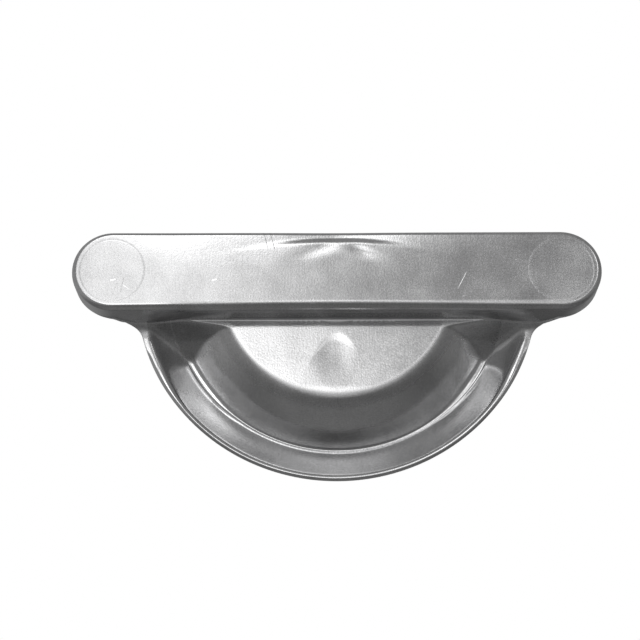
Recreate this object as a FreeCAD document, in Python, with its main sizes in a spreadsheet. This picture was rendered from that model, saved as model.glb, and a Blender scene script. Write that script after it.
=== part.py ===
"""End cap for a half-round gutter, pressed from one sheet of aluminium.

Frame: X runs along the bar, +Z is up as the cap hangs on its gutter, and -Y is the
outside that the street sees. The origin is the centre of the half-round, on the bar's
centre line, in the front face of the flat sheet. Lengths are in millimetres.
"""
import FreeCAD, Part
import Sketcher
import math
import os

NODE = "end_cap"
TOLERANCE = 1e-4
FULL_TURN = 360.0

# Driving sizes: name, value, meaning
SIZES = [
    ("sheet_thickness", 0.8, "thickness of the sheet"),
    ("bar_length", 137.7, "length of the raised bar over both ears"),
    ("bar_height", 21.1, "height of the bar, which boxes in the gutter's bead"),
    ("bar_depth", 9.2, "how far the bar's face stands out from the floor"),
    ("bar_lift", 1.6, "how far in front of the floor the bar's free edge is trimmed"),
    ("bar_edge_radius", 2.4, "outer radius round the bar's face"),
    ("outline_radius", 53.2, "radius of the trimmed half-round edge"),
    ("trim_corner_radius", 5.0, "hollow corner between an ear and the half-round"),
    ("ear_trim_place", 58.0, "where the slanted trim under an ear meets the bar's free edge"),
    ("ear_trim_angle", 52.0, "slant of that trim in degrees"),
    ("floor_radius", 32.0, "radius of the flat half-moon floor"),
    ("floor_bend", 2.7, "inner radius of the bend at the floor's edge"),
    ("rim_width", 1.2, "width of the rim inside the trimmed edge"),
    ("rim_depth", 3.5, "depth of the rim below the floor"),
    ("groove_outer_width", 8.6, "how far inside the rim the groove's bottom lies"),
    ("groove_depth", 11.3, "depth of the groove below the floor"),
    ("groove_bend", 0.5, "inner radius of the bends at the groove's bottom and ends"),
    ("knee_step", 3.0, "how far outside its bottom the groove's outer wall gets flatter"),
    ("knee_rise", 3.6, "how far above its bottom the groove's outer wall gets flatter"),
    ("end_place", 28.5, "distance from the middle at which the end wall's start is measured"),
    ("end_start", 12.6, "how far below the bar's centre line the groove's end wall starts there"),
    ("end_turn", 9.0, "turn of the end walls towards the bar, in degrees"),
    ("end_wall_angle", 66.0, "slope of the groove's end walls in degrees"),
    ("end_knee_depth", 5.5, "depth at which the end walls get flatter"),
    ("end_foot_angle", 43.0, "slope of the foot of the end walls in degrees"),
]

doc = FreeCAD.newDocument("gutter_end_cap")
sheet = doc.addObject("Spreadsheet::Sheet", "Sizes")
for row, (alias, size, meaning) in enumerate(SIZES, start=1):
    sheet.set(f"A{row}", meaning)
    sheet.set(f"B{row}", str(size))
    sheet.setAlias(f"B{row}", alias)
doc.recompute()

# Sizes worked out from the sheet, as expressions
T = "Sizes.sheet_thickness"
BAR_RADIUS = "Sizes.bar_height / 2"
EAR_CENTRE = "(Sizes.bar_length - Sizes.bar_height) / 2"
FOOT_Z = "(-Sizes.bar_height / 2)"
FORM_RADIUS = "(Sizes.outline_radius + 2 * Sizes.trim_corner_radius)"
FORM_FRONT = "(-2 * Sizes.bar_lift)"
RIM_RADIUS = "(Sizes.outline_radius - Sizes.rim_width)"
GROOVE_RADIUS = f"({RIM_RADIUS} - Sizes.groove_outer_width)"
KNEE_RADIUS = f"({GROOVE_RADIUS} + Sizes.knee_step)"
KNEE_DEPTH = "(Sizes.groove_depth - Sizes.knee_rise)"
INNER_ANGLE = f"atan(Sizes.groove_depth / ({GROOVE_RADIUS} - Sizes.floor_radius))"
STEEP_ANGLE = "(-atan(Sizes.knee_rise / Sizes.knee_step))"
GENTLE_ANGLE = f"(-atan(({KNEE_DEPTH} - Sizes.rim_depth) / ({RIM_RADIUS} - {KNEE_RADIUS})))"
FLAT = "(0 * 1deg)"
END_TURN = "(Sizes.end_turn * 1deg)"
END_ANGLE = "(Sizes.end_wall_angle * 1deg)"
END_FOOT_ANGLE = "(Sizes.end_foot_angle * 1deg)"
END_DISTANCE = f"(Sizes.end_start * cos({END_TURN}) + Sizes.end_place * sin({END_TURN}))"
EAR_TRIM_ANGLE = "(Sizes.ear_trim_angle * 1deg)"
BEYOND = f"(2 * {FORM_RADIUS})"
SAMPLE_SHARES = (0.0, 0.3, 0.5, 1.0)


def value(expression):
    """The number that an expression on the sheet gives."""
    result = sheet.evalExpression(expression)
    return float(getattr(result, "Value", result))


def plane(body, role):
    """One of a body's own origin planes."""
    return next(item for item in body.Origin.OriginFeatures if item.Role == role)


def new_sketch(body, role, name, offset=None):
    """A sketch on an origin plane, moved along the plane's normal by an expression."""
    sketch = body.newObject("Sketcher::SketchObject", name)
    sketch.AttachmentSupport = (plane(body, role), [""])
    sketch.MapMode = "FlatFace"
    if offset:
        sketch.setExpression("AttachmentOffset.Base.z", offset)
    doc.recompute()
    return sketch


def bind(sketch, constraint, expression):
    """Adds a constraint and ties its value to the sheet."""
    index = sketch.addConstraint(constraint)
    sketch.setExpression(f"Constraints[{index}]", expression)


def pin(sketch, edge, end, kind, expression):
    """Ties one end of an edge to a distance from the sketch's origin."""
    size = value(expression)
    axis = -2 if kind == "DistanceX" else -1
    if abs(size) < TOLERANCE:
        sketch.addConstraint(Sketcher.Constraint("PointOnObject", edge, end, axis))
    elif size > 0:
        bind(sketch, Sketcher.Constraint(kind, -1, 1, edge, end, size), expression)
    else:
        bind(sketch, Sketcher.Constraint(kind, edge, end, -1, 1, -size), f"-({expression})")


def arc_between(start, end, radius):
    """A short arc from start to end; a negative radius bends it clockwise."""
    chord = end - start
    height = math.sqrt(max(radius * radius - chord.Length ** 2 / 4, 0.0))
    side = FreeCAD.Vector(-chord.y, chord.x, 0).normalize()
    turn = 1 if radius > 0 else -1
    centre = (start + end) / 2 + side * height * turn
    middle = centre - side * abs(radius) * turn
    return Part.Arc(start, middle, end)


def draw_outline(sketch, corners):
    """Draws a closed outline: each corner is x, y and the radius of an arc to the next."""
    points = [FreeCAD.Vector(value(x), value(y), 0) for x, y, _ in corners]
    edges = []
    ends = []
    for index, (_, _, radius) in enumerate(corners):
        start = points[index]
        end = points[(index + 1) % len(points)]
        if radius is None:
            edges.append(sketch.addGeometry(Part.LineSegment(start, end)))
            ends.append((1, 2))
        else:
            size = value(radius)
            edges.append(sketch.addGeometry(arc_between(start, end, size)))
            ends.append((1, 2) if size > 0 else (2, 1))
    for index, edge in enumerate(edges):
        following = (index + 1) % len(edges)
        joint = Sketcher.Constraint(
            "Coincident", edge, ends[index][1], edges[following], ends[following][0])
        sketch.addConstraint(joint)
    for edge, end, (x, y, radius) in zip(edges, ends, corners):
        pin(sketch, edge, end[0], "DistanceX", x)
        pin(sketch, edge, end[0], "DistanceY", y)
        if radius is not None:
            bind(sketch, Sketcher.Constraint("Radius", edge, abs(value(radius))), f"abs({radius})")
    doc.recompute()


def draw_stadium(sketch, grow):
    """Draws the bar's outline with rounded ends, grown by an expression."""
    radius = f"{BAR_RADIUS} + {grow}"
    size = value(radius)
    reach = value(EAR_CENTRE)
    up = FreeCAD.Vector(0, size, 0)
    right = FreeCAD.Vector(reach, 0, 0)
    out = FreeCAD.Vector(size, 0, 0)
    right_end = sketch.addGeometry(Part.Arc(right - up, right + out, right + up))
    top = sketch.addGeometry(Part.LineSegment(right + up, up - right))
    left_end = sketch.addGeometry(Part.Arc(up - right, -right - out, -right - up))
    bottom = sketch.addGeometry(Part.LineSegment(-right - up, right - up))
    loop = [right_end, top, left_end, bottom]
    for edge, following in zip(loop, loop[1:] + loop[:1]):
        sketch.addConstraint(Sketcher.Constraint("Tangent", edge, 2, following, 1))
    for end in (right_end, left_end):
        sketch.addConstraint(Sketcher.Constraint("PointOnObject", end, 3, -1))
    sketch.addConstraint(Sketcher.Constraint("Equal", right_end, left_end))
    bind(sketch, Sketcher.Constraint("Radius", right_end, size), radius)
    bind(sketch, Sketcher.Constraint("DistanceX", -1, 1, right_end, 3, reach), EAR_CENTRE)
    bind(sketch, Sketcher.Constraint("DistanceX", left_end, 3, -1, 1, reach), EAR_CENTRE)
    doc.recompute()


def edges_where(feature, test):
    """Names of a feature's edges whose ends and middle all pass a test."""
    names = []
    for index, edge in enumerate(feature.Shape.Edges, start=1):
        first, span = edge.FirstParameter, edge.LastParameter - edge.FirstParameter
        samples = [edge.valueAt(first + share * span) for share in SAMPLE_SHARES]
        if all(test(point) for point in samples):
            names.append(f"Edge{index}")
    return names


def round_edges(body, base, name, radius, test):
    """Rounds the edges that pass a test."""
    doc.recompute()
    names = edges_where(base, test)
    if not names:
        raise RuntimeError(f"{name}: no edge to round")
    fillet = body.newObject("PartDesign::Fillet", name)
    fillet.Base = (base, names)
    fillet.setExpression("Radius", radius)
    doc.recompute()
    return fillet


def on_stadium(y, grow):
    """A test for points on the bar's outline, grown by a size, at one depth."""
    level = value(y)
    radius = value(f"{BAR_RADIUS} + {grow}")
    half_straight = value(EAR_CENTRE)

    def test(point):
        beyond = max(abs(point.x) - half_straight, 0.0)
        distance = math.hypot(beyond, point.z)
        return abs(point.y - level) < TOLERANCE and abs(distance - radius) < TOLERANCE
    return test


def on_ring(y, radius):
    """A test for points on a circle about the half-round's axis, at one depth."""
    level = value(y)
    size = value(radius)

    def test(point):
        radius_error = abs(math.hypot(point.x, point.z) - size)
        return abs(point.y - level) < TOLERANCE and radius_error < TOLERANCE
    return test


def behind(across, depth, before, after, grow):
    """A corner of a bent section on the face that lies grow behind the front one.

    The section turns at the corner from one slope to the next."""
    mean = f"(({before} + {after}) / 2)"
    half_turn = f"(({before} - {after}) / 2)"
    shifted_across = f"({across} - {grow} * sin({mean}) / cos({half_turn}))"
    shifted_depth = f"({depth} + {grow} * cos({mean}) / cos({half_turn}))"
    return shifted_across, shifted_depth


def make_bar():
    """The raised bar with its two ears, hollow at the back."""
    body = doc.addObject("PartDesign::Body", "bar")
    outline = new_sketch(body, "XZ_Plane", "bar_outline", "Sizes.bar_lift")
    draw_stadium(outline, "0")
    face = body.newObject("PartDesign::Pad", "bar_face")
    face.Profile = outline
    face.setExpression("Length", "Sizes.bar_depth - Sizes.bar_lift")
    edge = on_stadium("-Sizes.bar_depth", "0")
    front = round_edges(body, face, "bar_edge", "Sizes.bar_edge_radius", edge)
    solid_volume = front.Shape.Volume
    hollow_outline = new_sketch(body, "XZ_Plane", "hollow_outline", "Sizes.bar_lift")
    draw_stadium(hollow_outline, f"(-{T})")
    hollow = body.newObject("PartDesign::Pocket", "bar_hollow")
    hollow.Profile = hollow_outline
    hollow.Reversed = True
    hollow.setExpression("Length", f"Sizes.bar_depth - Sizes.bar_lift - {T}")
    doc.recompute()
    if hollow.Shape.Volume > solid_volume / 2:
        raise RuntimeError("the bar's hollow cuts nothing")
    inner_edge = on_stadium(f"{T} - Sizes.bar_depth", f"(-{T})")
    round_edges(body, hollow, "hollow_edge", f"Sizes.bar_edge_radius - {T}", inner_edge)
    return body


def make_press_form(name, grow):
    """All that lies in front of one face of the half-round sheet: grow is 0 or the thickness.

    The groove is a turned profile. The bar's wall and two sloping walls close its ends."""
    body = doc.addObject("PartDesign::Body", name)
    floor = behind("Sizes.floor_radius", "0", FLAT, INNER_ANGLE, grow)
    bottom = behind(GROOVE_RADIUS, "Sizes.groove_depth", INNER_ANGLE, STEEP_ANGLE, grow)
    knee = behind(KNEE_RADIUS, KNEE_DEPTH, STEEP_ANGLE, GENTLE_ANGLE, grow)
    rim = behind(RIM_RADIUS, "Sizes.rim_depth", GENTLE_ANGLE, FLAT, grow)
    profile = new_sketch(body, "XY_Plane", f"{name}_profile")
    draw_outline(profile, [
        ("0", FORM_FRONT, None),
        (FORM_RADIUS, FORM_FRONT, None),
        (FORM_RADIUS, rim[1], None),
        (*rim, None),
        (*knee, None),
        (*bottom, None),
        (*floor, None),
        ("0", grow, None),
    ])
    turned = body.newObject("PartDesign::Revolution", f"{name}_turned")
    turned.Profile = profile
    turned.ReferenceAxis = (profile, ["V_Axis"])
    turned.Angle = FULL_TURN
    inward = f"Sizes.groove_bend + {grow}"
    outward = f"Sizes.groove_bend + {T} - {grow}"
    floor_bend = f"Sizes.floor_bend + {T} - {grow}"
    feature = round_edges(body, turned, f"{name}_floor_bend", floor_bend, on_ring(floor[1], floor[0]))
    feature = round_edges(body, feature, f"{name}_groove_bend", inward, on_ring(bottom[1], bottom[0]))
    cut_above_foot(body, feature, name, grow)
    for side, turn in (("left", END_TURN), ("right", f"-{END_TURN}")):
        cut_end_wall(body, f"{name}_{side}_end", turn, grow, outward)
    return body


def check_cut(cut, whole):
    """Stops the build if a pocket took nothing or nearly everything away."""
    doc.recompute()
    left = cut.Shape.Volume
    if not 0.1 * whole < left < whole - TOLERANCE:
        raise RuntimeError(f"{cut.Label} leaves {left:.1f} of {whole:.1f}")


def cut_above_foot(body, base, name, grow):
    """Takes away what lies above the bar's lower wall."""
    outline = new_sketch(body, "XY_Plane", f"{name}_foot", f"{FOOT_Z} + {grow}")
    draw_outline(outline, [
        (f"-{BEYOND}", f"-{BEYOND}", None),
        (BEYOND, f"-{BEYOND}", None),
        (BEYOND, BEYOND, None),
        (f"-{BEYOND}", BEYOND, None),
    ])
    cut = body.newObject("PartDesign::Pocket", f"{name}_above_foot")
    cut.Profile = outline
    cut.Type = "ThroughAll"
    cut.Reversed = True
    check_cut(cut, base.Shape.Volume)


def cut_end_wall(body, name, turn, grow, bend):
    """Takes away what lies above one of the groove's end walls, which slopes in two steps."""
    knee_run = f"(Sizes.end_knee_depth / tan({END_ANGLE}))"
    corner = behind("0", "0", FLAT, END_ANGLE, grow)
    knee = behind(knee_run, "Sizes.end_knee_depth", END_ANGLE, END_FOOT_ANGLE, grow)
    tangent = f"({bend}) * tan({END_ANGLE} / 2)"
    far_depth = f"({FORM_RADIUS} / 2)"
    far_run = f"({knee[0]} + ({far_depth} - {knee[1]}) / tan({END_FOOT_ANGLE}))"
    section = new_sketch(body, "YZ_Plane", f"{name}_section")
    section.AttachmentOffset = FreeCAD.Placement(
        FreeCAD.Vector(), FreeCAD.Rotation(FreeCAD.Vector(1, 0, 0), 1))
    section.setExpression("AttachmentOffset.Rotation.Angle", turn)
    draw_outline(section, [
        (grow, BEYOND, None),
        (grow, f"-{END_DISTANCE} - {corner[0]} + {tangent}", f"{bend}"),
        (f"{grow} + {tangent} * sin({END_ANGLE})",
         f"-{END_DISTANCE} - {corner[0]} - {tangent} * cos({END_ANGLE})", None),
        (knee[1], f"-{END_DISTANCE} - {knee[0]}", None),
        (far_depth, f"-{END_DISTANCE} - {far_run}", None),
        (far_depth, BEYOND, None),
    ])
    whole = body.Tip.Shape.Volume
    cut = body.newObject("PartDesign::Pocket", f"{name}_wall")
    cut.Profile = section
    cut.Type = "ThroughAll"
    cut.Reversed = value(turn) < 0
    check_cut(cut, whole)


def make_trim():
    """The trimmed outline of the half-round, as a prism through the sheet."""
    body = doc.addObject("PartDesign::Body", "trim")
    reach = "(Sizes.outline_radius + Sizes.trim_corner_radius)"
    corner_z = f"({FOOT_Z} - Sizes.trim_corner_radius)"
    corner_x = f"sqrt({reach} ^ 2 - {corner_z} ^ 2)"
    share = f"(Sizes.outline_radius / {reach})"
    ear = "Sizes.ear_trim_place"
    outline = new_sketch(body, "XZ_Plane", "trim_outline")
    draw_outline(outline, [
        (f"-{ear}", FOOT_Z, None),
        (f"-{corner_x}", FOOT_Z, "-Sizes.trim_corner_radius"),
        (f"-{corner_x} * {share}", f"{corner_z} * {share}", "Sizes.outline_radius"),
        (f"{corner_x} * {share}", f"{corner_z} * {share}", "-Sizes.trim_corner_radius"),
        (corner_x, FOOT_Z, None),
        (ear, FOOT_Z, None),
        (ear, f"{FOOT_Z} + {T}", None),
        (f"-{ear}", f"{FOOT_Z} + {T}", None),
    ])
    prism = body.newObject("PartDesign::Pad", "trim_prism")
    prism.Profile = outline
    prism.Midplane = True
    prism.setExpression("Length", "2 * Sizes.outline_radius")
    doc.recompute()
    far_depth = "Sizes.outline_radius"
    far_x = f"({ear} - ({far_depth} + Sizes.bar_lift) / tan({EAR_TRIM_ANGLE}))"
    for side, sign in (("left", "-1"), ("right", "1")):
        slant = new_sketch(body, "XY_Plane", f"{side}_ear_slant")
        draw_outline(slant, [
            (f"{sign} * {ear}", "-Sizes.bar_lift", None),
            (f"{sign} * {BEYOND}", "-Sizes.bar_lift", None),
            (f"{sign} * {BEYOND}", far_depth, None),
            (f"{sign} * {far_x}", far_depth, None),
        ])
        whole = body.Tip.Shape.Volume
        cut = body.newObject("PartDesign::Pocket", f"{side}_ear_trim")
        cut.Profile = slant
        cut.Type = "ThroughAll"
        cut.Midplane = True
        check_cut(cut, whole)
    return body


def make_end_cap():
    """The whole cap: the half-round sheet between its press forms, joined to the bar."""
    bar = make_bar()
    front = make_press_form("front_form", "0")
    back = make_press_form("back_form", T)
    sheet_form = doc.addObject("Part::Cut", "half_round_sheet")
    sheet_form.Base = back
    sheet_form.Tool = front
    half_round = doc.addObject("Part::Common", "half_round")
    half_round.Base = sheet_form
    half_round.Tool = make_trim()
    cap = doc.addObject("Part::Fuse", NODE)
    cap.Base = bar
    cap.Tool = half_round
    cap.Refine = True
    cap.Label = NODE
    doc.recompute()
    return cap


def check(piece):
    """Stops the build if an object failed or the piece isn't one sound solid."""
    for item in doc.Objects:
        failed = {"Invalid", "Error"} & set(item.State)
        if failed:
            raise RuntimeError(f"{item.Name} is {failed}")
    shape = piece.Shape
    if shape.isNull() or not shape.isValid() or len(shape.Solids) != 1:
        raise RuntimeError(f"{piece.Label} isn't one valid solid")


end_cap = make_end_cap()
check(end_cap)
os.makedirs("parts", exist_ok=True)
end_cap.Shape.exportStep(f"parts/{end_cap.Label}.step")
box = end_cap.Shape.optimalBoundingBox()
print(f"{end_cap.Label}: {box.XLength:.2f} x {box.YLength:.2f} x {box.ZLength:.2f} mm, "
      f"volume {end_cap.Shape.Volume:.1f} mm3, faces {len(end_cap.Shape.Faces)}")
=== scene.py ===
"""Builds the look of a gutter end cap that is pressed from one sheet of metal."""

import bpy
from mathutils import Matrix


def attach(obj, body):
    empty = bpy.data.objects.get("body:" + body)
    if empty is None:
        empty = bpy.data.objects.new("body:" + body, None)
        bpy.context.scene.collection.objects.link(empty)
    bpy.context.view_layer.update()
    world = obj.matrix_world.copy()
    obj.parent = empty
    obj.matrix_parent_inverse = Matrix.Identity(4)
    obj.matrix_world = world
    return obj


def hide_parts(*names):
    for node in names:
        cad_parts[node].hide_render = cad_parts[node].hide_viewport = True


bl_info = {
    "name": "Gutter end cap",
    "version": (1, 0, 0),
    "blender": (4, 5, 0),
    "location": "3D View > Sidebar > End Cap",
    "description": "Presses the end cap from a flat blank and sets it in a plain studio",
    "category": "Object",
}

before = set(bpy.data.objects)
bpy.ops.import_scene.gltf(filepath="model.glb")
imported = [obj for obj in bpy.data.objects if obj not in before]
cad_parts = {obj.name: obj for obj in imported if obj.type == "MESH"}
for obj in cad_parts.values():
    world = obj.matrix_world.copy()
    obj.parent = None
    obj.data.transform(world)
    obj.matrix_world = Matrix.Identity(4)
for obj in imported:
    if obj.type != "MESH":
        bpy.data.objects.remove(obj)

import math

import bmesh
import bpy
from mathutils import Vector

MM = 0.001
NODE = "end_cap"
BODY = "root"
PIECE = "end_cap_sheet"
FRONT = -1.0
QUARTER = math.pi / 2
WHITE = (1.0, 1.0, 1.0, 1.0)


# Properties


def length(name, description, millimetres):
    """A length property whose default is written in millimetres."""
    return bpy.props.FloatProperty(
        name=name,
        description=description,
        default=millimetres * MM,
        unit="LENGTH",
        subtype="DISTANCE",
    )


def rotation(name, description, degrees):
    """An angle property whose default is written in degrees."""
    return bpy.props.FloatProperty(
        name=name,
        description=description,
        default=math.radians(degrees),
        unit="ROTATION",
        subtype="ANGLE",
    )


def fraction(name, description, value):
    """A property between 0 and 1."""
    return bpy.props.FloatProperty(
        name=name,
        description=description,
        default=value,
        min=0.0,
        max=1.0,
        subtype="FACTOR",
    )


class CapSizes(bpy.types.PropertyGroup):
    """Sizes of the pressing, measured on the side that shows."""

    sheet: length("Sheet", "Thickness of the sheet", 0.8)
    bar_length: length("Bar length", "Length of the raised bar", 137.7)
    bar_height: length("Bar height", "Height of the raised bar", 21.1)
    bar_depth: length("Bar depth", "How far the bar stands out from the floor", 9.2)
    bar_lift: length("Bar lift", "How far in front of the floor the bar's free edge is trimmed", 1.6)
    ear_place: length("Ear place", "Where the slanted trim under an ear meets that edge", 58.0)
    ear_slant: rotation("Ear slant", "Slant of the trim under an ear", 52.0)
    top_edge: length("Top edge", "Bend along the top of the bar's face", 1.0)
    low_edge: length("Low edge", "Bend along the bottom of the bar's face", 2.2)
    ear_edge: length("Ear edge", "The same bend under the ears", 1.2)
    top_crown: length("Top crown", "How far the face of the bar falls back towards its top", 0.2)
    face_dish: length("Face dish", "How far the middle of the bar's face lies back", 0.03)
    foot_bend: length("Foot bend", "Bend at the foot of the bar", 0.25)
    outline: length("Outline", "Radius of the half-round outline", 53.2)
    corner: length("Corner", "Radius where the half-round meets the bar", 5.0)
    floor_radius: length("Floor radius", "Radius where the floor ends", 32.0)
    floor_bend: length("Floor bend", "Softness of the edge of the floor", 2.4)
    groove_radius: length("Groove radius", "Radius of the bottom of the groove", 43.4)
    groove_depth: length("Groove depth", "Depth of the bottom of the groove", 11.2)
    groove_bend: length("Groove bend", "Softness of the bottom of the groove", 0.2)
    groove_cut: length("Groove cut", "How far the bottom of the groove is flattened", 0.85)
    knee_radius: length("Knee radius", "Radius where the outer wall of the groove gets flatter", 46.4)
    knee_depth: length("Knee depth", "Depth of that knee", 8.1)
    knee_bend: length("Knee bend", "Softness of that knee", 0.3)
    wall_belly: length("Wall belly", "How far the flatter part of that wall sags back", 0.045)
    rim_radius: length("Rim radius", "Radius of the crest of the rim", 52.0)
    rim_depth: length("Rim depth", "Depth of the crest of the rim", 3.0)
    rim_bend: length("Rim bend", "Softness of the crest of the rim", 0.6)
    end_start: length("End start", "How far below the bar's centre line the end wall starts", 12.6)
    end_place: length("End place", "Distance from the middle at which that start is measured", 28.5)
    end_turn: rotation("End turn", "How far the end wall is turned towards the bar at its outer end", 9.0)
    end_angle: rotation("End angle", "Slope of the wall that ends the groove", 66.0)
    end_foot_angle: rotation("End foot angle", "Slope of the foot of that wall", 43.0)
    end_knee: length("End knee", "Depth at which that wall gets flatter", 5.5)
    end_bend: length("End bend", "Softness of the start of the end wall", 1.0)
    inner_crease: length("Inner crease", "Softness of the corner of the end wall and the inner wall", 1.4)
    outer_crease: length("Outer crease", "Softness of the corner of the end wall and the outer wall", 5.0)
    edge_dent: length("Edge dent", "Depth of the dent in the top edge of the bar", 0.36)
    floor_dent: length("Floor dent", "Depth of the round press mark in the floor", 0.09)
    cut_round: length("Cut round", "Rounding of the cut edge of the sheet", 0.12)


class SheetFinish(bpy.types.PropertyGroup):
    """Look of the bare sheet."""

    colour: bpy.props.FloatVectorProperty(
        name="Colour",
        description="Colour of the clean metal",
        default=(0.84, 0.84, 0.845, 1.0),
        size=4,
        min=0.0,
        max=1.0,
        subtype="COLOR",
    )
    roughness: fraction("Roughness", "Roughness of the rolled skin", 0.11)
    grain: fraction("Grain", "Strength of the rolling grain", 0.6)
    # Matte also sets the strength of the painted shade in the drawn corners, and the roughness along the
    # dimmed bends.
    matte_and_corner_shade: fraction("Matte", "Extra roughness in the drawn corners", 0.2)
    bump: fraction("Bump", "Height of the rolling grain", 0.1)


class StudioLook(bpy.types.PropertyGroup):
    """Place and lens of the camera."""

    distance: length("Distance", "Distance from the camera to the middle of the half-round", 506.0)
    tilt: rotation("Tilt", "How far the camera stands below the level of the part", 18.85)
    lens: bpy.props.FloatProperty(
        name="Lens",
        description="Focal length of the camera",
        default=107.8,
        subtype="DISTANCE_CAMERA",
        unit="CAMERA",
    )
    aim: bpy.props.FloatVectorProperty(
        name="Aim",
        description="Place of the half-round's middle, right of and above centre, in picture widths",
        default=(0.0261, 0.0608),
        size=2,
    )


# Node helpers


class Field:
    """A value in a node tree, with sums written as operators."""

    def __init__(self, tree, socket):
        self.tree = tree
        self.socket = socket

    def math(self, operation, *others):
        """The result of one Math node that starts from this value."""
        return combine(self.tree, operation, self, *others)

    def __add__(self, other):
        return self.math("ADD", other)

    def __radd__(self, other):
        return combine(self.tree, "ADD", other, self)

    def __sub__(self, other):
        return self.math("SUBTRACT", other)

    def __rsub__(self, other):
        return combine(self.tree, "SUBTRACT", other, self)

    def __mul__(self, other):
        return self.math("MULTIPLY", other)

    def __rmul__(self, other):
        return combine(self.tree, "MULTIPLY", other, self)

    def __truediv__(self, other):
        return self.math("DIVIDE", other)

    def __neg__(self):
        return self.math("MULTIPLY", -1.0)

    def between(self, low, high):
        """This value kept between two limits."""
        return self.math("MAXIMUM", low).math("MINIMUM", high)

    def ramp(self, start, end, low=0.0, high=1.0):
        """A smooth step from low at start to high at end."""
        node = self.tree.nodes.new("ShaderNodeMapRange")
        node.interpolation_type = "SMOOTHSTEP"
        limits = {"From Min": start, "From Max": end, "To Min": low, "To Max": high}
        feed(self.tree, node.inputs["Value"], self)
        for name, item in limits.items():
            feed(self.tree, node.inputs[name], item)
        return Field(self.tree, node.outputs["Result"])

    def hump(self, centre, width):
        """A smooth hump that is 1 at centre and fades over width."""
        offset = (self - centre) / width
        return combine(self.tree, "EXPONENT", -(offset * offset))


def feed(tree, socket, item):
    """Gives a node input a field, a socket or a constant."""
    if isinstance(item, Field):
        tree.links.new(item.socket, socket)
    elif isinstance(item, bpy.types.NodeSocket):
        tree.links.new(item, socket)
    else:
        socket.default_value = item


def combine(tree, operation, *items):
    """One Math node as a field."""
    node = tree.nodes.new("ShaderNodeMath")
    node.operation = operation
    for socket, item in zip(node.inputs, items):
        feed(tree, socket, item)
    return Field(tree, node.outputs[0])


def split(tree, vector):
    """The three parts of a vector as fields."""
    node = tree.nodes.new("ShaderNodeSeparateXYZ")
    feed(tree, node.inputs[0], vector)
    return [Field(tree, part) for part in node.outputs]


def join(tree, *parts):
    """A vector made from three parts."""
    node = tree.nodes.new("ShaderNodeCombineXYZ")
    for socket, item in zip(node.inputs, parts):
        feed(tree, socket, item)
    return node.outputs[0]


def named(tree, kind, name):
    """A named attribute of the blank."""
    node = tree.nodes.new("GeometryNodeInputNamedAttribute")
    node.data_type = kind
    node.inputs["Name"].default_value = name
    return node.outputs["Attribute"]


# Flat blank

FLOOR_STEP = 0.8 * MM
CREASE_STEP = 0.36 * MM
WALL_STEP = 0.42 * MM
BAR_STEP = 0.8 * MM
COLUMN_STEP = math.radians(1.0)
CREASE_START = 19.0 * MM
WALL_START = 28.0 * MM
END_TURN_STEPS = 44
FOOT_FADE = math.radians(30.0)
STAGE_STEPS = {"foot": 5, "wall": 4, "edge": 18, "face": 15}
FACE_RINGS = 8.0 * MM
SMALL = 1e-7
HALVINGS = 60


def steps(start, end, step):
    """Evenly spaced values from start up to, but without, end."""
    count = max(1, round((end - start) / step))
    return [start + (end - start) * index / count for index in range(count)]


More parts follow.
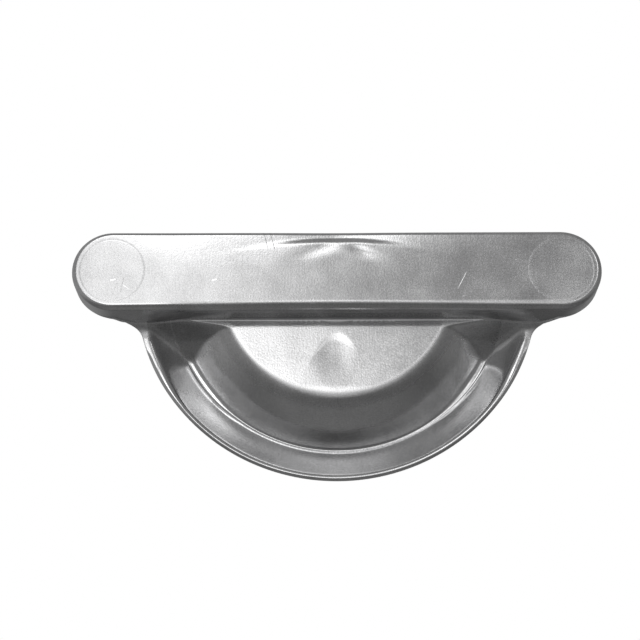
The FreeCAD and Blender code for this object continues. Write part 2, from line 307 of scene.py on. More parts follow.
class Blank:
    """Plan of the sheet before it is pressed, as rings and columns."""

    def __init__(self, sizes):
        self.sizes = sizes
        self.ear = (sizes.bar_length - sizes.bar_height) / 2
        self.half = sizes.bar_height / 2 + sizes.foot_bend
        reach = sizes.outline + sizes.corner
        drop = self.half + sizes.corner
        self.corner_x = math.sqrt(reach**2 - drop**2)
        self.corner_z = drop
        self.rings = steps(self.half, CREASE_START, FLOOR_STEP)
        self.rings += steps(CREASE_START, WALL_START, CREASE_STEP)
        self.rings += steps(WALL_START, sizes.outline, WALL_STEP) + [sizes.outline]
        self.first_angle = math.atan2(self.half, self.corner_x)
        self.tangent_angle = math.atan2(self.corner_z, self.corner_x)

    def edge_radius(self, angle):
        """Distance from the middle to the trimmed outline."""
        if angle >= self.tangent_angle:
            return self.sizes.outline
        along = self.corner_x * math.cos(angle) + self.corner_z * math.sin(angle)
        off = self.corner_x**2 + self.corner_z**2 - self.sizes.corner**2
        return along - math.sqrt(max(along**2 - off, 0.0))

    def ring_radius(self, ring, angle):
        """Radius of a ring, stretched outside the rim so that the last one follows the outline."""
        start = self.sizes.rim_radius
        if ring <= start:
            return ring
        share = (ring - start) / (self.sizes.outline - start)
        return start + share * (self.edge_radius(angle) - start)

    def foot_radius(self, angle):
        """Distance from the middle to the foot of the bar."""
        return self.half / math.sin(angle)

    def foot_angle(self, ring):
        """Angle at which a ring reaches the foot of the bar."""
        low, high = self.first_angle, QUARTER
        for _ in range(HALVINGS):
            middle = (low + high) / 2
            if self.ring_radius(ring, middle) < self.foot_radius(middle):
                low = middle
            else:
                high = middle
        return (low + high) / 2

    def angles(self):
        """Angles of the columns, from the left end round to the right end."""
        found = sorted(self.foot_angle(ring) for ring in self.rings)
        filled = []
        for start, end in zip(found, found[1:]):
            filled += steps(start, end, COLUMN_STEP)
        return filled + [QUARTER] + [math.pi - angle for angle in reversed(filled)]

    def column(self, angle):
        """Ring numbers and radii of one column, with its start on the foot."""
        mirrored = min(angle, math.pi - angle)
        start = self.foot_radius(mirrored)
        rows = [(-1, start)]
        for number, ring in enumerate(self.rings):
            radius = self.ring_radius(ring, mirrored)
            if radius > start + SMALL:
                rows.append((number, radius))
        return rows

    def runs(self):
        """Developed distances of the rings of the bar from the trimmed edge."""
        sizes = self.sizes
        wide = max(sizes.top_edge, sizes.low_edge)
        stages = (
            ("foot", sizes.foot_bend * QUARTER),
            ("wall", sizes.bar_depth - sizes.foot_bend - wide),
            ("edge", wide * QUARTER),
            ("face", FACE_RINGS),
        )
        values = [0.0]
        for name, span in stages:
            count = STAGE_STEPS[name]
            start = values[-1]
            values += [start + span * (index + 1) / count for index in range(count)]
        return values

    def loop(self, foot):
        """Points round the bar from the foot on, with the way in and 1 where there is a foot."""
        side = steps(0.0, self.ear - foot[-1], BAR_STEP)
        right = [self.ear - offset for offset in reversed(side)]
        bottom = foot + right
        points = [((x, -self.half), (0.0, 1.0), 1.0) for x in bottom]
        turns = [math.pi * index / END_TURN_STEPS for index in range(1, END_TURN_STEPS)]
        for turn in turns:
            footed = max(0.0, 1.0 - turn / FOOT_FADE)
            radius = self.sizes.bar_height / 2 + self.sizes.foot_bend * footed
            way = (math.sin(turn), -math.cos(turn))
            points.append(((self.ear + way[0] * radius, way[1] * radius), (-way[0], -way[1]), footed))
        for x in [self.ear - offset for offset in steps(0.0, 2 * self.ear, BAR_STEP)] + [-self.ear]:
            points.append(((x, self.sizes.bar_height / 2), (0.0, -1.0), 0.0))
        mirrored = points[len(bottom):len(bottom) + len(turns)]
        for (x, z), way, footed in reversed(mirrored):
            points.append(((-x, z), (-way[0], way[1]), footed))
        points += [((-x, -self.half), (0.0, 1.0), 1.0) for x in reversed(right)]
        return points

    def mesh(self):
        """The blank as a mesh whose points carry their run and way in."""
        work = bmesh.new()
        run_layer = work.verts.layers.float.new("run")
        way_layer = work.verts.layers.float_vector.new("way")
        foot_layer = work.verts.layers.float.new("footed")

        def place(x, z):
            return work.verts.new((x, 0.0, z))

        columns = []
        for angle in self.angles():
            rows = {}
            for number, radius in self.column(angle):
                rows[number] = place(-radius * math.cos(angle), -radius * math.sin(angle))
            columns.append(rows)
        for left, right in zip(columns, columns[1:]):
            self.span(work, left, right)

        foot = [column[-1] for column in columns]
        points = self.loop([vertex.co.x for vertex in foot])
        rings = []
        for run in self.runs():
            ring = []
            for index, ((x, z), way, footed) in enumerate(points):
                on_foot = run == 0.0 and index < len(foot)
                vertex = foot[index] if on_foot else place(x, z)
                vertex[run_layer] = run
                vertex[way_layer] = (way[0], 0.0, way[1])
                vertex[foot_layer] = footed
                ring.append(vertex)
            rings.append(ring)
        for outer, inner in zip(rings, rings[1:]):
            for index in range(len(outer)):
                after = (index + 1) % len(outer)
                work.faces.new((outer[index], outer[after], inner[after], inner[index]))
        work.faces.new(rings[-1])
        mesh = bpy.data.meshes.new("blank")
        work.to_mesh(mesh)
        work.free()
        return mesh

    @staticmethod
    def span(work, left, right):
        """Faces between two neighbouring columns."""
        shared = sorted(set(left) & set(right) - {-1})
        short, tall, turned = (left, right, False) if len(left) <= len(right) else (right, left, True)
        extra = sorted(set(tall) - set(short))
        fan = [tall[-1]] + [tall[number] for number in extra + shared[:1]]
        if shared:
            fan.append(short[shared[0]])
        for first, second in zip(fan, fan[1:]):
            work.faces.new((short[-1], first, second) if turned else (short[-1], second, first))
        for near, far in zip(shared, shared[1:]):
            work.faces.new((left[far], right[far], right[near], left[near]))


# Press rule

RULE_SIZES = (
    "bar_depth",
    "bar_height",
    "top_edge",
    "low_edge",
    "ear_edge",
    "face_dish",
    "top_crown",
    "bar_lift",
    "ear_place",
    "ear_slant",
    "foot_bend",
    "floor_radius",
    "floor_bend",
    "groove_radius",
    "groove_depth",
    "groove_bend",
    "groove_cut",
    "knee_radius",
    "knee_depth",
    "knee_bend",
    "wall_belly",
    "rim_radius",
    "rim_depth",
    "rim_bend",
    "end_start",
    "end_place",
    "end_turn",
    "end_angle",
    "end_foot_angle",
    "end_knee",
    "end_bend",
    "inner_crease",
    "outer_crease",
    "edge_dent",
    "floor_dent",
)


def bar_section(run, footed, edge, size):
    """How far in and how far out a point of the bar lies, from its run along the sheet."""
    wall = size["bar_depth"] - size["foot_bend"] - edge
    foot_turn = (run / size["foot_bend"]).between(0.0, QUARTER)
    wall_start = size["foot_bend"] * QUARTER
    up_wall = (run - wall_start).math("MAXIMUM", 0.0).math("MINIMUM", wall)
    edge_start = wall_start + wall
    edge_turn = ((run - edge_start) / edge).between(0.0, QUARTER)
    on_face = (run - edge_start - edge * QUARTER).math("MAXIMUM", 0.0)
    inset = size["foot_bend"] * foot_turn.math("SINE") * footed
    inset = inset + edge * (1.0 - edge_turn.math("COSINE")) + on_face
    out = size["foot_bend"] * (1.0 - foot_turn.math("COSINE")) + up_wall + edge * edge_turn.math("SINE")
    return inset, out


# Pairs here are where a smooth step starts and ends, with its two values where it isn't 0 to 1

# How far from the middle the wide lower bend of the bar reaches, and shares of the bar's depth
EDGE_REACH = 45.0 * MM
FACE_SHARE = 0.4
STRETCH_SHARE = 0.7

# Crown of the bar's face, which starts lower near one place and is weaker at the left ear
CROWN_START = 0.35
CROWN_DROP = 0.75
CROWN_PLACE = -28.0 * MM
CROWN_REACH = 14.0 * MM
CROWN_EAR = (-62.0 * MM, -42.0 * MM, 0.5, 1.0)

# Dent under the top edge of the bar
DENT_TOP = 8.2 * MM
DENT_FALL = 0.8 * MM
DENT_REACH = 14.0 * MM
DENT_WIDTH = 0.7 * MM

# Hollows under the dent: middle across and up, turn, half length, half width and depth
HOLLOWS = (
    (-4.3, 6.0, 20.0, 6.0, 1.8, 0.08),
    (6.3, 5.2, -18.0, 4.2, 1.4, 0.14),
)

# Press mark in the floor, and the form of its edges in half widths and half heights
FLOOR_MARK_WIDE = 5.6 * MM
FLOOR_MARK_TALL = 7.4 * MM
FLOOR_MARK_PLACE = -21.7 * MM
FLOOR_MARK_ARCH = 0.65
FLOOR_MARK_EDGE = (1.0, 0.75)
FLOOR_MARK_RISE = (-1.2, 0.5)
FLOOR_MARK_RIGHT = (1.0, 0.0)
FLOOR_MARK_LEFT = (-1.5, -0.2)

# Rolled edge of the floor under that mark
ROLL_START = (-28.5 * MM, -31.5 * MM)
ROLL_END = (-38.0 * MM, -33.0 * MM)
ROLL_ASIDE = (14.0 * MM, 3.0 * MM)

# Rim, its lip, the strip at the bottom of the groove and small tilts
RIM_LOW = -36.0 * MM
RIM_HIGH = -22.0 * MM
RIM_SHARE = 2.4
RIM_DROP = 1.0 * MM
LIP_START = 52.75 * MM
LIP_HIGH = -17.0 * MM
LIP_LOW = -25.0 * MM
LIP_SLOPE = math.tan(math.radians(55.0))
STRIP_SLOPE = math.tan(math.radians(1.5))
STRIP_LOW = -40.0 * MM
STRIP_HIGH = -24.0 * MM
STRIP_SHARE = 0.25
FLOOR_TILT = math.tan(math.radians(1.0))
CURL = math.tan(math.radians(1.0))
BELLY_TO_ONE = 4.0


def slope(size, start, end):
    """Steepness of the wall between two corners of the groove."""
    rise = size[end + "_depth"] - size[start + "_depth"]
    return rise / (size[end + "_radius"] - size[start + "_radius"])


def outer_wall(radius, z, size):
    """Depth of the outer wall of the groove, from its steep foot past the knee to the rim and lip."""
    past_knee = radius - size["knee_radius"]
    steep = size["knee_depth"] + past_knee * slope(size, "groove", "knee")
    gentle = size["knee_depth"] + past_knee * slope(size, "knee", "rim")
    share = past_knee / (size["rim_radius"] - size["knee_radius"])
    gentle = gentle + share * (1.0 - share) * size["wall_belly"] * BELLY_TO_ONE
    lip = (radius - LIP_START).math("MAXIMUM", 0.0) * z.ramp(LIP_HIGH, LIP_LOW, 0.0, LIP_SLOPE)
    shelf = z.ramp(RIM_LOW, RIM_HIGH, 0.0, RIM_DROP)
    curl = size["rim_depth"] + shelf + (radius - size["rim_radius"]) * CURL + lip
    rim_bend = size["rim_bend"] * z.ramp(RIM_LOW, RIM_HIGH, 1.0, RIM_SHARE)
    wall = steep.math("SMOOTH_MAX", gentle, size["knee_bend"])
    return wall.math("SMOOTH_MAX", curl, rim_bend)


def end_wall(x, z, tilt, size):
    """Depth of the sloping wall that ends the groove under an ear."""
    along = x.math("ABSOLUTE") - size["end_place"]
    below = along * size["end_turn"].math("TANGENT") - z - size["end_start"]
    end = (below * size["end_angle"].math("TANGENT")).math("SMOOTH_MAX", tilt, size["end_bend"])
    past_knee = below - size["end_knee"] / size["end_angle"].math("TANGENT")
    foot = size["end_knee"] + past_knee * size["end_foot_angle"].math("TANGENT")
    return end.math("SMOOTH_MIN", foot, size["outer_crease"])


def groove_depth(x, z, size):
    """Depth of the pressed half-round at a point of the plan."""
    radius = (x * x + z * z).math("SQRT")
    rise = size["groove_depth"] / (size["groove_radius"] - size["floor_radius"])
    tilt = ((-z - size["bar_height"] * 0.5) * FLOOR_TILT).math("MAXIMUM", 0.0)
    inner = ((radius - size["floor_radius"]) * rise).math("SMOOTH_MAX", tilt, size["floor_bend"])
    groove = inner.math("SMOOTH_MIN", outer_wall(radius, z, size), size["groove_bend"])
    cut = size["groove_cut"] * z.ramp(STRIP_LOW, STRIP_HIGH, STRIP_SHARE, 1.0)
    strip = size["groove_depth"] - cut + (radius - size["groove_radius"]) * STRIP_SLOPE
    groove = groove.math("SMOOTH_MIN", strip, size["groove_bend"])
    end = end_wall(x, z, tilt, size)
    creases = (size["inner_crease"], size["outer_crease"])
    softness = radius.ramp(size["groove_radius"], size["knee_radius"], *creases)
    depth = groove.math("SMOOTH_MIN", end, softness).math("MAXIMUM", tilt)
    inside = size["ear_place"] - x.math("ABSOLUTE")
    slant = inside * size["ear_slant"].math("TANGENT") - size["bar_lift"]
    depth = depth.math("SMOOTH_MIN", slant, size["end_bend"])
    under_bar = z.math("LESS_THAN", 0.0)
    return (depth * under_bar - size["bar_lift"] * (1.0 - under_bar)).math("MAXIMUM", -size["bar_lift"])


def floor_place(x, z):
    """A place on the floor in half widths and half heights of its press mark."""
    return x / FLOOR_MARK_WIDE, (z - FLOOR_MARK_PLACE) / FLOOR_MARK_TALL


def press_marks(x, z, out, size):
    """How far the crown, the dent and the mark in the floor move the sheet back."""
    on_bar = out.ramp(size["bar_depth"] * FACE_SHARE, size["bar_depth"])
    reach = x / DENT_REACH
    arch = DENT_TOP - reach * reach * DENT_FALL
    rolled = (z - arch).ramp(-DENT_WIDTH, DENT_WIDTH) * x.hump(0.0, DENT_REACH)
    dent = size["edge_dent"] * rolled
    for across, up, turn, far, near, deep in HOLLOWS:
        cosine = math.cos(math.radians(turn))
        sine = math.sin(math.radians(turn))
        right = x - across * MM
        above = z - up * MM
        along = (right * cosine + above * sine).hump(0.0, far * MM)
        beside = (above * cosine - right * sine).hump(0.0, near * MM)
        dent = dent + along * beside * deep * MM
    wide, tall = floor_place(x, z)
    arch = (tall + wide * wide * FLOOR_MARK_ARCH).ramp(*FLOOR_MARK_EDGE)
    fade = wide.ramp(*FLOOR_MARK_RIGHT) * wide.ramp(*FLOOR_MARK_LEFT)
    roll = z.ramp(*ROLL_START) * z.ramp(*ROLL_END) * x.math("ABSOLUTE").ramp(*ROLL_ASIDE)
    floor_mark = (arch * tall.ramp(*FLOOR_MARK_RISE) * fade + roll) * size["floor_dent"]
    across = z / (size["bar_height"] * 0.5)
    dish = (1.0 - across * across) * size["face_dish"]
    crown = CROWN_START - x.hump(CROWN_PLACE, CROWN_REACH) * CROWN_DROP
    high = ((across - crown) / (1.0 - crown)).between(0.0, 1.0) * x.ramp(*CROWN_EAR)
    dish = dish + high * high * size["top_crown"]
    return on_bar * (dish + dent) + floor_mark


def press_tree():
    """Geometry nodes that press the flat blank into the cap."""
    tree = bpy.data.node_groups.new("press_cap", "GeometryNodeTree")
    tree.is_modifier = True
    face = tree.interface
    face.new_socket("Blank", in_out="INPUT", socket_type="NodeSocketGeometry")
    face.new_socket("Finish", in_out="INPUT", socket_type="NodeSocketMaterial")
    for name in RULE_SIZES:
        face.new_socket(name, in_out="INPUT", socket_type="NodeSocketFloat")
    face.new_socket("Pressed", in_out="OUTPUT", socket_type="NodeSocketGeometry")
    start = tree.nodes.new("NodeGroupInput")
    size = {name: Field(tree, start.outputs[name]) for name in RULE_SIZES}

    run = Field(tree, named(tree, "FLOAT", "run"))
    way_x, _, way_z = split(tree, named(tree, "FLOAT_VECTOR", "way"))
    x, _, z = split(tree, tree.nodes.new("GeometryNodeInputPosition").outputs[0])
    footed = Field(tree, named(tree, "FLOAT", "footed"))
    low = (way_z + 1.0) * 0.5
    low_edge = size["ear_edge"] + (size["low_edge"] - size["ear_edge"]) * x.hump(0.0, EDGE_REACH)
    edge = size["top_edge"] + (low_edge - size["top_edge"]) * low
    inset, out = bar_section(run, footed, edge, size)
    new_x = x + way_x * inset
    new_z = z + way_z * inset
    stretch = out.ramp(0.0, size["bar_depth"] * STRETCH_SHARE, 1.0, 0.0)
    back = groove_depth(x, z, size) * stretch - out + press_marks(new_x, new_z, out, size)

    shift = tree.nodes.new("GeometryNodeSetPosition")
    feed(tree, shift.inputs["Geometry"], start.outputs["Blank"])
    feed(tree, shift.inputs["Position"], join(tree, new_x, back, new_z))
    realize = tree.nodes.new("GeometryNodeRealizeInstances")
    feed(tree, realize.inputs[0], shift.outputs[0])
    paint = tree.nodes.new("GeometryNodeSetMaterial")
    feed(tree, paint.inputs["Geometry"], realize.outputs[0])
    feed(tree, paint.inputs["Material"], start.outputs["Finish"])
    end = tree.nodes.new("NodeGroupOutput")
    feed(tree, end.inputs["Pressed"], paint.outputs[0])
    return tree


# Finish

FACE_FRONT = (-8.2 * MM, -8.9 * MM)

# Noise of the rolled skin: scales per metre along each axis
SPECKLE_SCALE = (2600.0, 2600.0, 2600.0)
GRAIN_SCALE = (3000.0, 400.0, 260.0)
CLOUD_SCALE = (110.0, 110.0, 110.0)
CLOUD_DETAIL = 4.0

# What noise, marks and painted shade add to the tone, the roughness and the height of the skin
SPECKLE_TONE = 0.9
GRAIN_TONE = 0.2
CLOUD_TONE = 0.7
MARKS_TONE = 0.6
BEND_SHADE_TONE = 0.12
FLOOR_MARK_SHADE_TONE = 0.12
TONE_LIMIT = 1.18
CLOUD_SPREAD = 0.12
SPECKLE_SPREAD = 0.1
MARKS_SPREAD = 0.2
SPECKLE_HEIGHT = 0.9
GRAIN_HEIGHT = 0.3
MARKS_HEIGHT = 2.5
BUMP_DISTANCE = 0.1 * MM

# Painted shade inside the floor's press mark, whose lower half is a little longer
TINT_LOW = (-0.1, 0.1, 0.88, 1.0)
TINT_EDGE = (1.0, 0.9)
TINT_TOP = (0.9, 0.6)
TINT_FRONT = (-1.0 * MM, -0.8 * MM)

# Painted shade and extra roughness in the drawn corners of the groove: on its end walls, and on the band
# outside them
CORNER_ASIDE = (28.0 * MM, 36.0 * MM)
CORNER_DEEP = (0.0, 2.0 * MM)
CORNER_WALL = (45.2 * MM, 44.6 * MM)
CORNER_WALL_TOP = (-22.0 * MM, -17.0 * MM)
CORNER_BAND_IN = (44.8 * MM, 45.6 * MM)
CORNER_BAND_OUT = (51.6 * MM, 50.8 * MM)
CORNER_BAND_TOP = (-36.0 * MM, -27.0 * MM)
CORNER_BAND_RIGHT = (0.0, 1.0 * MM, 1.0, 0.2)

# Bends given painted shade and extra roughness to dim their highlights: under the face of the bar, round
# the floor and where the end walls start
DIM_BEND_LOW = (-8.0 * MM, -9.0 * MM)
DIM_BEND_FRONT = (-5.0 * MM, -6.0 * MM)
DIM_BEND_LEFT = (-50.0 * MM, -38.0 * MM)
DIM_BEND_UNDER_BAR = (-10.6 * MM, -11.2 * MM)
DIM_BEND_FLOOR_IN = (29.5 * MM, 31.0 * MM)
DIM_BEND_FLOOR_OUT = (35.0 * MM, 33.5 * MM)
DIM_BEND_END_ASIDE = (27.5 * MM, 29.0 * MM)
DIM_BEND_END_TOP = (-15.0 * MM, -14.0 * MM)

# Scratches of the bar's face, the light ones painted lighter as painted glints: middle across and up,
# half length, half width, turn, strength
SCRATCHES_AND_GLINTS = (
    (-18.4, 8.2, 2.6, 0.10, 104.0, -0.8),
    (-16.6, 7.8, 2.6, 0.10, 104.0, -0.7),
    (32.6, -2.9, 3.0, 0.10, 63.0, 0.35),
    (-58.0, -2.6, 0.9, 0.16, 15.0, 0.6),
    (-54.6, -4.6, 1.2, 0.14, -35.0, 0.6),
    (-31.6, -2.7, 0.8, 0.16, 15.0, 0.5),
    (-55.6, -4.2, 2.8, 0.10, 80.0, -0.15),
    (-57.4, -5.0, 2.4, 0.08, 70.0, -0.12),
    (32.9, -7.3, 0.25, 0.25, 0.0, -0.6),
    (46.6, 2.5, 0.2, 0.2, 0.0, -0.35),
)
SCRATCH_FULL = 0.6

# Round press marks in the ends of the bar, drawn as a painted shade line with a bump and a darker inside
MARK_PLACE = 58.4 * MM
MARK_RADIUS = 8.5 * MM
MARK_LINE = 0.22 * MM
RING_SHADE_LINE = -0.3
RING_INSIDE_DARKER = -0.06


def noise(tree, place, scale, detail=2.0):
    """Soft noise about 0, with its own scale along each axis."""
    stretch = tree.nodes.new("ShaderNodeVectorMath")
    stretch.operation = "MULTIPLY"
    feed(tree, stretch.inputs[0], place)
    stretch.inputs[1].default_value = scale
    node = tree.nodes.new("ShaderNodeTexNoise")
    feed(tree, node.inputs["Vector"], stretch.outputs[0])
    node.inputs["Scale"].default_value = 1.0
    node.inputs["Detail"].default_value = detail
    return Field(tree, node.outputs[0]) - 0.5


def press_rings_with_shade(x, z):
    """Round marks that the press has left in the ends of the bar, as painted shade lines with a darker
    inside.
    """
    aside = x.math("ABSOLUTE") - MARK_PLACE
    off = (aside * aside + z * z).math("SQRT")
    inside = off.ramp(MARK_RADIUS + MARK_LINE, MARK_RADIUS - MARK_LINE)
    # The ring line is painted shade of the pressed ring's crease; inside the ring the tone is a little
    # darker.
    return off.hump(MARK_RADIUS, MARK_LINE) * RING_SHADE_LINE + inside * RING_INSIDE_DARKER


def floor_mark_shade(x, y, z):
    """1 where the inside of the floor's press mark gets painted shade."""
    wide, tall = floor_place(x, z)
    tall = tall * tall.ramp(*TINT_LOW)
    off = (wide * wide + tall * tall).math("SQRT")
    return off.ramp(*TINT_EDGE) * tall.ramp(*TINT_TOP) * y.ramp(*TINT_FRONT)


def scratches_and_glints(x, z):
    """Sum of the thin marks on the face of the bar, painted lighter above 0 as painted glints and dark
    below.
    """
    total = None
    for across, up, reach, width, turn, strength in SCRATCHES_AND_GLINTS:
        cosine = math.cos(math.radians(turn))
        sine = math.sin(math.radians(turn))
        right = x - across * MM
        above = z - up * MM
        along = (right * cosine + above * sine).math("ABSOLUTE")
        along = along.ramp(reach * MM, reach * SCRATCH_FULL * MM)
        beside = (above * cosine - right * sine).math("ABSOLUTE").ramp(width * MM, 0.0)
        mark = along * beside * strength
        total = mark if total is None else total + mark
    return total


def corner_shade_and_dull(x, y, z):
    """How much painted shade and extra roughness go into the deep corners under the ears."""
    radius = (x * x + z * z).math("SQRT")
    wall = radius.ramp(*CORNER_WALL) * z.ramp(*CORNER_WALL_TOP)
    band = radius.ramp(*CORNER_BAND_IN) * radius.ramp(*CORNER_BAND_OUT)
    band = band * z.ramp(*CORNER_BAND_TOP) * x.ramp(*CORNER_BAND_RIGHT)
    return x.math("ABSOLUTE").ramp(*CORNER_ASIDE) * (wall + band) * y.ramp(*CORNER_DEEP)


def bend_shade_and_dull(x, y, z):
    """1 along the bends of the bar, the floor and the end walls, where painted shade and extra roughness
    dim the highlights.
    """
    low = z.ramp(*DIM_BEND_LOW) * y.ramp(*DIM_BEND_FRONT) * x.ramp(*DIM_BEND_LEFT)
    radius = (x * x + z * z).math("SQRT")
    edge = radius.ramp(*DIM_BEND_FLOOR_IN) * radius.ramp(*DIM_BEND_FLOOR_OUT)
    end = x.math("ABSOLUTE").ramp(*DIM_BEND_END_ASIDE) * z.ramp(*DIM_BEND_END_TOP)
    return low + edge.math("MAXIMUM", end) * z.ramp(*DIM_BEND_UNDER_BAR)


def sheet_material(finish):
    """Bare rolled metal: speckle, upright grain, cloudy patches, scratches with painted glints, press
    marks with painted shade, and painted shade in the deep corners and along some bends.
    """
    material = bpy.data.materials.new("sheet_metal")
    material.use_nodes = True
    tree = material.node_tree
    shader = tree.nodes["Principled BSDF"]
    place = tree.nodes.new("ShaderNodeTexCoord").outputs["Object"]
    x, y, z = split(tree, place)
    speckle = noise(tree, place, SPECKLE_SCALE)
    grain = noise(tree, place, GRAIN_SCALE)
    cloud = noise(tree, place, CLOUD_SCALE, CLOUD_DETAIL)
    # Marks: scratches, with the light ones as painted glints, and press rings drawn as painted shade
    # lines.
    marks = (scratches_and_glints(x, z) + press_rings_with_shade(x, z)) * y.ramp(*FACE_FRONT)
    skin = speckle * SPECKLE_TONE + grain * GRAIN_TONE + cloud * CLOUD_TONE
    # Painted shade in the deep corners under the ears, which also adds roughness there.
    corner = corner_shade_and_dull(x, y, z)
    # Painted shade along the bends, dimming their highlights, which also adds roughness there.
    bend_shade = bend_shade_and_dull(x, y, z)
    # Painted shade taken off the tone: deep corners, dimmed bends and the inside of the floor's press
    # mark.
    painted_shade = corner * finish.matte_and_corner_shade + bend_shade * BEND_SHADE_TONE + floor_mark_shade(x, y, z) * FLOOR_MARK_SHADE_TONE
    tone = (1.0 + skin * finish.grain + marks * MARKS_TONE - painted_shade).math("MINIMUM", TONE_LIMIT)
    red, green, blue, _ = finish.colour
    feed(tree, shader.inputs["Base Color"], join(tree, tone * red, tone * green, tone * blue))
    dull = corner.math("MAXIMUM", bend_shade) * finish.matte_and_corner_shade
    spread = cloud * CLOUD_SPREAD + speckle * SPECKLE_SPREAD
    spread = spread + marks.math("ABSOLUTE") * MARKS_SPREAD + dull
    feed(tree, shader.inputs["Roughness"], spread + finish.roughness)
    shader.inputs["Metallic"].default_value = 1.0
    bump = tree.nodes.new("ShaderNodeBump")
    bump.inputs["Strength"].default_value = finish.bump
    bump.inputs["Distance"].default_value = BUMP_DISTANCE
    height = speckle * SPECKLE_HEIGHT + grain * GRAIN_HEIGHT + marks * MARKS_HEIGHT
    feed(tree, bump.inputs["Height"], height)
    feed(tree, shader.inputs["Normal"], bump.outputs[0])
    return material


# Building

CUT_SEGMENTS = 4
CUT_ANGLE = math.radians(60.0)
SHARP_ANGLE = math.radians(75.0)


def press_cap(sizes, finish):
    """Presses the blank, gives it its thickness and hands it to the frame."""
    material = sheet_material(finish)
    blank = bpy.data.objects.new("blank", Blank(sizes).mesh())
    bpy.context.scene.collection.objects.link(blank)
    press = blank.modifiers.new("press", "NODES")
    press.node_group = press_tree()
    sockets = {item.name: item.identifier for item in press.node_group.interface.items_tree}
    press[sockets["Finish"]] = material
    for name in RULE_SIZES:
        press[sockets[name]] = getattr(sizes, name)
    thick = blank.modifiers.new("thickness", "SOLIDIFY")
    thick.thickness = sizes.sheet
    thick.offset = FRONT
    thick.use_even_offset = True
    edge = blank.modifiers.new("cut edge", "BEVEL")
    edge.width = sizes.cut_round
    edge.segments = CUT_SEGMENTS
    edge.limit_method = "ANGLE"
    edge.angle_limit = CUT_ANGLE
    graph = bpy.context.evaluated_depsgraph_get()
    mesh = bpy.data.meshes.new_from_object(blank.evaluated_get(graph), depsgraph=graph)
    mesh.name = PIECE
    blank_mesh = blank.data
    bpy.data.objects.remove(blank)
    bpy.data.meshes.remove(blank_mesh)
    mesh.shade_smooth()
    mesh.set_sharp_from_angle(angle=SHARP_ANGLE)
    piece = bpy.data.objects.new(PIECE, mesh)
    bpy.context.scene.collection.objects.link(piece)
    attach(piece, BODY)
    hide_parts(NODE)
    return piece


# Studio

CLIP_START = 0.01

# Room: its level, how much darker it is to the right, and how it darkens below
ROOM_LEVEL = 0.21
ROOM_LEAN = 0.05
ROOM_LOW = (-0.97, 0.0, 0.25, 1.0)

# Soft patches in the room: azimuth, elevation and half width in degrees, and strength
WALL_PATCH = (0.0, -5.5, 7.0, 0.36)
DARK_PATCHES = (
    (0.0, -21.0, 8.0, 0.68),
    (175.0, -20.0, 16.0, 0.6),
)
LIGHT_PATCHES = (
    (-6.0, 10.5, 5.0, 2.0),
    (0.0, 6.0, 5.0, 0.4),
    (-6.5, 27.5, 5.0, 2.3),
    (-6.5, 19.0, 3.0, 0.15),
    (8.0, 11.0, 2.5, 1.4),
    (15.0, 20.0, 3.0, 1.8),
)
BACKDROP_PATCH = (180.0, 18.85, 9.0, 1.0)
BACKDROP_EDGE = (0.3, 0.7)

# Floor: where it ends and where it is full, in metres from the middle
FLOOR_SIDES = 96
FLOOR_SIZE = 0.9
FLOOR_FULL = 0.15
FLOOR_LEVEL = -0.5
FLOOR_COLOUR = (0.55, 0.55, 0.55, 1.0)
FLOOR_GLOW = 0.7


def set_camera(look):
    """Puts the camera where the picture was taken from."""
    tilt = look.tilt
    sight = Vector((0.0, math.cos(tilt), math.sin(tilt)))
    up = Vector((0.0, -math.sin(tilt), math.cos(tilt)))
    across = Vector((1.0, 0.0, 0.0))
    data = bpy.data.cameras.new("camera")
    data.lens = look.lens
    data.clip_start = CLIP_START
    field = data.sensor_width / look.lens
    axis = sight - across * look.aim[0] * field - up * look.aim[1] * field
    camera = bpy.data.objects.new("camera", data)
    camera.location = -sight * look.distance
    camera.rotation_euler = axis.to_track_quat("-Z", "Y").to_euler()
    bpy.context.scene.collection.objects.link(camera)
    bpy.context.scene.camera = camera
    return camera


def heading(azimuth, elevation):
    """Direction from the part, in degrees, with azimuth 0 in front and positive to the right."""
    turn, rise = math.radians(azimuth), math.radians(elevation)
    level = math.cos(rise)
    return Vector((math.sin(turn) * level, -math.cos(turn) * level, math.sin(rise)))


def patch(tree, sight, azimuth, elevation, width, strength):
    """A round soft patch, of full strength in its middle and half as strong at its width."""
    node = tree.nodes.new("ShaderNodeVectorMath")
    node.operation = "DOT_PRODUCT"
    feed(tree, node.inputs[0], sight)
    node.inputs[1].default_value = heading(azimuth, elevation)
    sharpness = math.log(2.0) / (1.0 - math.cos(math.radians(width)))
    aligned = Field(tree, node.outputs["Value"])
    return combine(tree, "EXPONENT", (aligned - 1.0) * sharpness) * strength


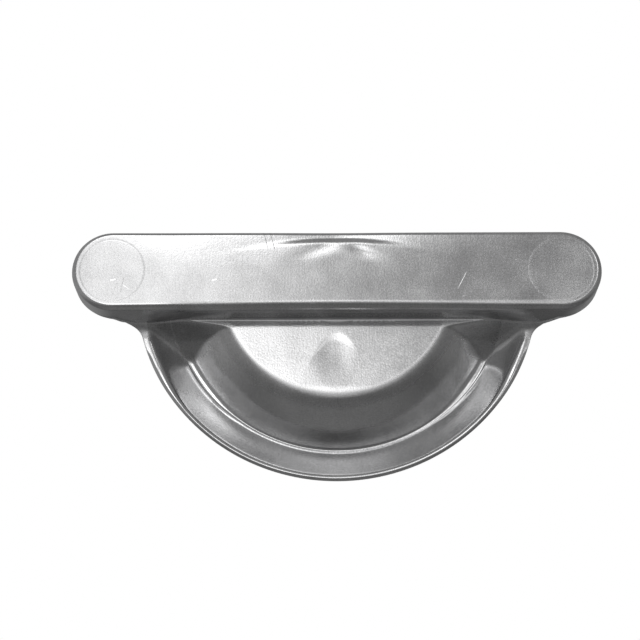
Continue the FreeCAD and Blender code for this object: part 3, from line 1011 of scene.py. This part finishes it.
def set_world():
    """White behind the part for the camera and a soft studio round it for the metal."""
    world = bpy.data.worlds.new("studio")
    bpy.context.scene.world = world
    world.use_nodes = True
    tree = world.node_tree
    tree.nodes.clear()
    sight = tree.nodes.new("ShaderNodeTexCoord").outputs["Generated"]
    x, _, z = split(tree, sight)
    studio = (ROOM_LEVEL - x * ROOM_LEAN) * z.ramp(*ROOM_LOW) + patch(tree, sight, *WALL_PATCH)
    for row in DARK_PATCHES:
        studio = studio * (1.0 - patch(tree, sight, *row))
    for row in LIGHT_PATCHES:
        studio = studio + patch(tree, sight, *row)
    path = tree.nodes.new("ShaderNodeLightPath")
    seen = Field(tree, path.outputs["Is Camera Ray"])
    glossy = Field(tree, path.outputs["Is Glossy Ray"])
    clear = Field(tree, path.outputs["Is Transmission Ray"])
    backdrop = patch(tree, sight, *BACKDROP_PATCH).ramp(*BACKDROP_EDGE)
    white = seen.math("MAXIMUM", glossy.math("MAXIMUM", clear) * backdrop)
    level = studio * (1.0 - white) + white
    ground = tree.nodes.new("ShaderNodeBackground")
    feed(tree, ground.inputs["Color"], join(tree, level, level, level))
    end = tree.nodes.new("ShaderNodeOutputWorld")
    tree.links.new(ground.outputs[0], end.inputs["Surface"])


def floor_material():
    """Pale floor that fades out towards its edge."""
    material = bpy.data.materials.new("floor")
    material.use_nodes = True
    tree = material.node_tree
    shader = tree.nodes["Principled BSDF"]
    shader.inputs["Base Color"].default_value = FLOOR_COLOUR
    x, y, _ = split(tree, tree.nodes.new("ShaderNodeTexCoord").outputs["Object"])
    reach = (x * x + y * y).math("SQRT")
    feed(tree, shader.inputs["Alpha"], reach.ramp(FLOOR_SIZE, FLOOR_FULL))
    path = tree.nodes.new("ShaderNodeLightPath")
    seen = Field(tree, path.outputs["Is Camera Ray"])
    feed(tree, shader.inputs["Emission Strength"], seen * FLOOR_GLOW)
    shader.inputs["Emission Color"].default_value = WHITE
    return material


def set_floor():
    """Round pale floor well below the part."""
    mesh = bpy.data.meshes.new("floor")
    ring = [math.tau * index / FLOOR_SIDES for index in range(FLOOR_SIDES)]
    edge = [(FLOOR_SIZE * math.cos(turn), FLOOR_SIZE * math.sin(turn)) for turn in ring]
    corners = [(x, y, FLOOR_LEVEL) for x, y in edge]
    mesh.from_pydata(corners, [], [tuple(range(FLOOR_SIDES))])
    mesh.materials.append(floor_material())
    floor = bpy.data.objects.new("floor", mesh)
    bpy.context.scene.collection.objects.link(floor)


def set_stage(look):
    """Camera, light and floor."""
    set_camera(look)
    set_world()
    set_floor()
    bpy.context.scene.view_settings.view_transform = "Standard"


# Operators and panel


class OBJECT_OT_press_end_cap(bpy.types.Operator):
    """Press the end cap from its blank"""

    bl_idname = "object.press_end_cap"
    bl_label = "Press end cap"

    def execute(self, context):
        scene = context.scene
        press_cap(scene.cap_sizes, scene.sheet_finish)
        return {"FINISHED"}


class SCENE_OT_set_studio(bpy.types.Operator):
    """Set up the camera, the light and the floor"""

    bl_idname = "scene.set_studio"
    bl_label = "Set studio"

    def execute(self, context):
        set_stage(context.scene.studio_look)
        return {"FINISHED"}


class VIEW3D_PT_end_cap(bpy.types.Panel):
    """Sizes of the end cap and its studio"""

    bl_label = "End Cap"
    bl_space_type = "VIEW_3D"
    bl_region_type = "UI"
    bl_category = "End Cap"

    def draw(self, context):
        scene = context.scene
        for group in (scene.cap_sizes, scene.sheet_finish, scene.studio_look):
            column = self.layout.column()
            for name in group.__annotations__:
                column.prop(group, name)
        self.layout.operator(OBJECT_OT_press_end_cap.bl_idname)
        self.layout.operator(SCENE_OT_set_studio.bl_idname)


CLASSES = (
    CapSizes,
    SheetFinish,
    StudioLook,
    OBJECT_OT_press_end_cap,
    SCENE_OT_set_studio,
    VIEW3D_PT_end_cap,
)
GROUPS = {"cap_sizes": CapSizes, "sheet_finish": SheetFinish, "studio_look": StudioLook}


def register():
    for item in CLASSES:
        bpy.utils.register_class(item)
    for name, group in GROUPS.items():
        setattr(bpy.types.Scene, name, bpy.props.PointerProperty(type=group))


def unregister():
    for name in GROUPS:
        delattr(bpy.types.Scene, name)
    for item in reversed(CLASSES):
        bpy.utils.unregister_class(item)


def main():
    register()
    bpy.ops.object.press_end_cap()
    bpy.ops.scene.set_studio()


if __name__ == "__main__":
    main()
